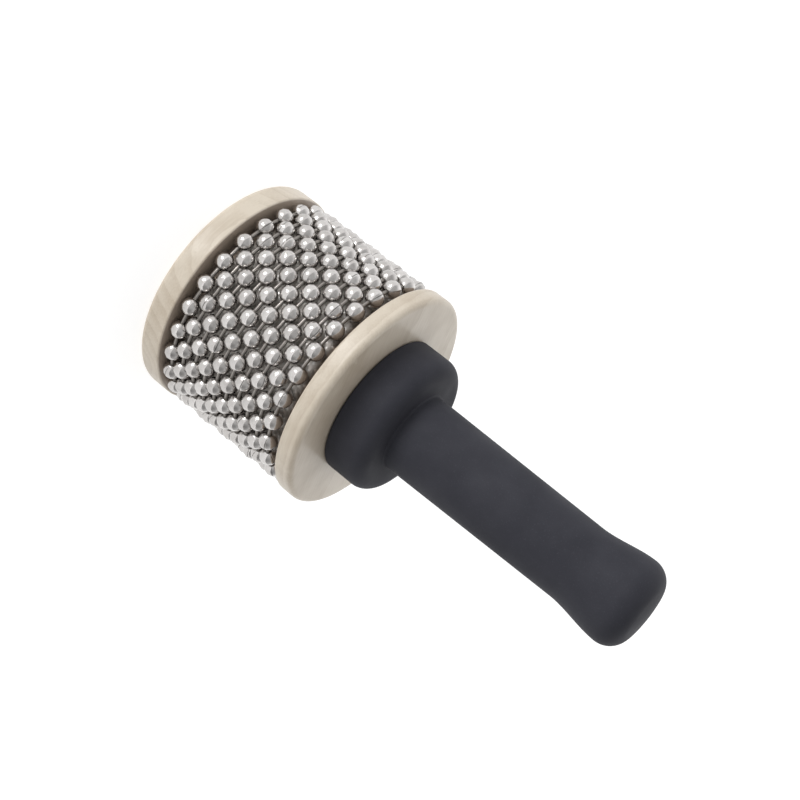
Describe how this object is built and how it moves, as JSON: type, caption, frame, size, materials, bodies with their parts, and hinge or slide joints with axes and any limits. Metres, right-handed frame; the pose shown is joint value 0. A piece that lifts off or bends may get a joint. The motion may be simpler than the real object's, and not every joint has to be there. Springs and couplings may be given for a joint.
{
  "type": "cabasa",
  "caption": "Hand-held percussion drum: loops of steel ball chain turn round a rasp sheet between wooden end discs, on a black moulded handle.",
  "frame": {"origin": "centre of the far end disc's flat outer face, on which the drum stands", "axes": "+Z is the common axis of drum, bead loops and handle, from the far disc towards the end of the handle; X and Y lie in the disc's face, with the sheet's seam at +X"},
  "size_m": [0.1, 0.1, 0.2211],
  "materials": {
    "pale_wood": "pale close-grained wood, lightly sealed, satin",
    "drum_board": "bare",
    "rasp_steel": "embossed stainless sheet, satin",
    "bead_steel": "polished steel",
    "soft_black": "fine matte texture",
    "core_plastic": "matte",
    "zinc_plate": "bright zinc plate"
  },
  "bodies": {
    "drum_and_handle": {"far_end_disc": "pale_wood", "near_end_disc": "pale_wood", "drum_tube": "drum_board", "rasp_sheet": "rasp_steel", "handle_cover": "soft_black", "handle_core": "core_plastic", "through_bolt": "zinc_plate", "plain_washer": "zinc_plate", "spring_washer": "zinc_plate", "captive_nut": "zinc_plate", "dowel_pin_1": "zinc_plate", "dowel_pin_2": "zinc_plate"},
    "loop_01": {"bead_loop_01": "bead_steel"},
    "loop_02": {"bead_loop_02": "bead_steel"},
    "loop_03": {"bead_loop_03": "bead_steel"},
    "loop_04": {"bead_loop_04": "bead_steel"},
    "loop_05": {"bead_loop_05": "bead_steel"},
    "loop_06": {"bead_loop_06": "bead_steel"},
    "loop_07": {"bead_loop_07": "bead_steel"},
    "loop_08": {"bead_loop_08": "bead_steel"},
    "loop_09": {"bead_loop_09": "bead_steel"},
    "loop_10": {"bead_loop_10": "bead_steel"}
  },
  "joints": [
    {"name": "loop_01_turn", "type": "hinge", "parent": "drum_and_handle", "child": "loop_01", "pos_m": [0, 0, 0], "axis": [0, 0, 1], "continuous": true},
    {"name": "loop_02_turn", "type": "hinge", "parent": "drum_and_handle", "child": "loop_02", "pos_m": [0, 0, 0], "axis": [0, 0, 1], "continuous": true},
    {"name": "loop_03_turn", "type": "hinge", "parent": "drum_and_handle", "child": "loop_03", "pos_m": [0, 0, 0], "axis": [0, 0, 1], "continuous": true},
    {"name": "loop_04_turn", "type": "hinge", "parent": "drum_and_handle", "child": "loop_04", "pos_m": [0, 0, 0], "axis": [0, 0, 1], "continuous": true},
    {"name": "loop_05_turn", "type": "hinge", "parent": "drum_and_handle", "child": "loop_05", "pos_m": [0, 0, 0], "axis": [0, 0, 1], "continuous": true},
    {"name": "loop_06_turn", "type": "hinge", "parent": "drum_and_handle", "child": "loop_06", "pos_m": [0, 0, 0], "axis": [0, 0, 1], "continuous": true},
    {"name": "loop_07_turn", "type": "hinge", "parent": "drum_and_handle", "child": "loop_07", "pos_m": [0, 0, 0], "axis": [0, 0, 1], "continuous": true},
    {"name": "loop_08_turn", "type": "hinge", "parent": "drum_and_handle", "child": "loop_08", "pos_m": [0, 0, 0], "axis": [0, 0, 1], "continuous": true},
    {"name": "loop_09_turn", "type": "hinge", "parent": "drum_and_handle", "child": "loop_09", "pos_m": [0, 0, 0], "axis": [0, 0, 1], "continuous": true},
    {"name": "loop_10_turn", "type": "hinge", "parent": "drum_and_handle", "child": "loop_10", "pos_m": [0, 0, 0], "axis": [0, 0, 1], "continuous": true}
  ],
  "couplings": [
    {"joint": "loop_01_turn", "follows": "loop_06_turn", "ratio": 1},
    {"joint": "loop_02_turn", "follows": "loop_06_turn", "ratio": 1},
    {"joint": "loop_03_turn", "follows": "loop_06_turn", "ratio": 1},
    {"joint": "loop_04_turn", "follows": "loop_06_turn", "ratio": 1},
    {"joint": "loop_05_turn", "follows": "loop_06_turn", "ratio": 1},
    {"joint": "loop_07_turn", "follows": "loop_06_turn", "ratio": 1},
    {"joint": "loop_08_turn", "follows": "loop_06_turn", "ratio": 1},
    {"joint": "loop_09_turn", "follows": "loop_06_turn", "ratio": 1},
    {"joint": "loop_10_turn", "follows": "loop_06_turn", "ratio": 1}
  ]
}
